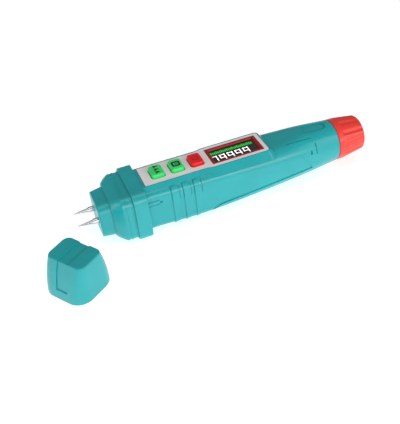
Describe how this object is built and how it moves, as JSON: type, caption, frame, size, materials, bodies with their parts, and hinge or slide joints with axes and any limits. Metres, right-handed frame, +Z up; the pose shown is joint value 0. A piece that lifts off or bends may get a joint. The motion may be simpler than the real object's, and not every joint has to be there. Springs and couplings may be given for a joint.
{
  "type": "pin moisture meter",
  "caption": "Pen-shaped pin moisture meter with a rounded-square nose, display, press keys, screw-on battery cap and a separate protective nose cap.",
  "frame": {"origin": "bottom centre of the whole arrangement: the pen lying on its collar's level, its protective cap standing beside the nose", "axes": "+X along the pen from the needles to the battery cap, +Z up out of the key panel, +Y away from the side on which the protective cap stands"},
  "size_m": [0.2044, 0.0672, 0.0331],
  "materials": {
    "teal_shell": "glossy moulded ABS, turquoise",
    "red_plastic": "glossy moulded ABS, red",
    "green_key": "smooth moulded key, bright green",
    "panel_grey": "printed light grey film, satin",
    "dark_red": "dark red frame, gloss",
    "lens_dark": "dark display lens",
    "display_glass": "display glass",
    "white_plastic": "white diffuser",
    "rubber_black": "black rubber",
    "black_plastic": "black moulded plastic",
    "board_green": "green circuit board",
    "cell_can": "printed cell jacket, plain",
    "spring_steel": "bright plated spring steel",
    "pin_steel": "ground steel needle",
    "zinc_steel": "zinc plated screw",
    "brass": "turned brass",
    "wire_red": "insulated wire"
  },
  "bodies": {
    "housing": {"upper_housing": "teal_shell", "lower_housing": "teal_shell", "collar_ring": "teal_shell", "nose_block": "teal_shell", "case_screws": "zinc_steel", "electrode_pin_left": "pin_steel", "electrode_pin_right": "pin_steel", "electrode_sockets": "brass", "electrode_leads": "wire_red", "panel_overlay": "panel_grey", "lcd_bezel": "dark_red", "lcd_window": "lens_dark", "lcd_module": "display_glass", "lcd_backlight": "white_plastic", "display_connector": "rubber_black", "tact_switches": "black_plastic", "main_board": "board_green", "board_parts": "black_plastic", "battery_sleeve": "black_plastic", "battery_1": "cell_can", "battery_2": "cell_can", "battery_spring": "spring_steel", "battery_plate": "spring_steel", "battery_leads": "wire_red", "cap_o_ring": "rubber_black"},
    "max_key": {"max_button": "green_key", "max_plunger": "black_plastic"},
    "hold_key": {"hold_button": "green_key", "hold_plunger": "black_plastic"},
    "power_key": {"power_button": "red_plastic", "power_plunger": "black_plastic"},
    "cap_carrier": {"contact_carrier": "black_plastic", "bridge_contact": "spring_steel"},
    "screw_cap": {"battery_cap": "red_plastic"},
    "nose_cap": {"protective_cap": "teal_shell"}
  },
  "joints": [
    {"name": "max_press", "type": "slide", "parent": "housing", "child": "max_key", "axis": [0, 0, -1], "range_m": [0, 0.0006], "stiffness_N_per_m": 1500},
    {"name": "hold_press", "type": "slide", "parent": "housing", "child": "hold_key", "axis": [0, 0, -1], "range_m": [0, 0.0006], "stiffness_N_per_m": 1500},
    {"name": "power_press", "type": "slide", "parent": "housing", "child": "power_key", "axis": [0, 0, -1], "range_m": [0, 0.0006], "stiffness_N_per_m": 1500},
    {"name": "cap_travel", "type": "slide", "parent": "housing", "child": "cap_carrier", "axis": [1, 0, 0], "range_m": [0, 0.004]},
    {"name": "cap_turn", "type": "hinge", "parent": "cap_carrier", "child": "screw_cap", "pos_m": [0.08385, 0.01549, 0.0166], "axis": [1, 0, 0], "range_deg": [0, 900]},
    {"name": "nose_cap_lift", "type": "slide", "parent": "housing", "child": "nose_cap", "axis": [0, 0, 1], "range_m": [0, 0.05]}
  ],
  "couplings": [
    {"joint": "cap_travel", "follows": "cap_turn", "m_per_rad": 0.0002546}
  ]
}
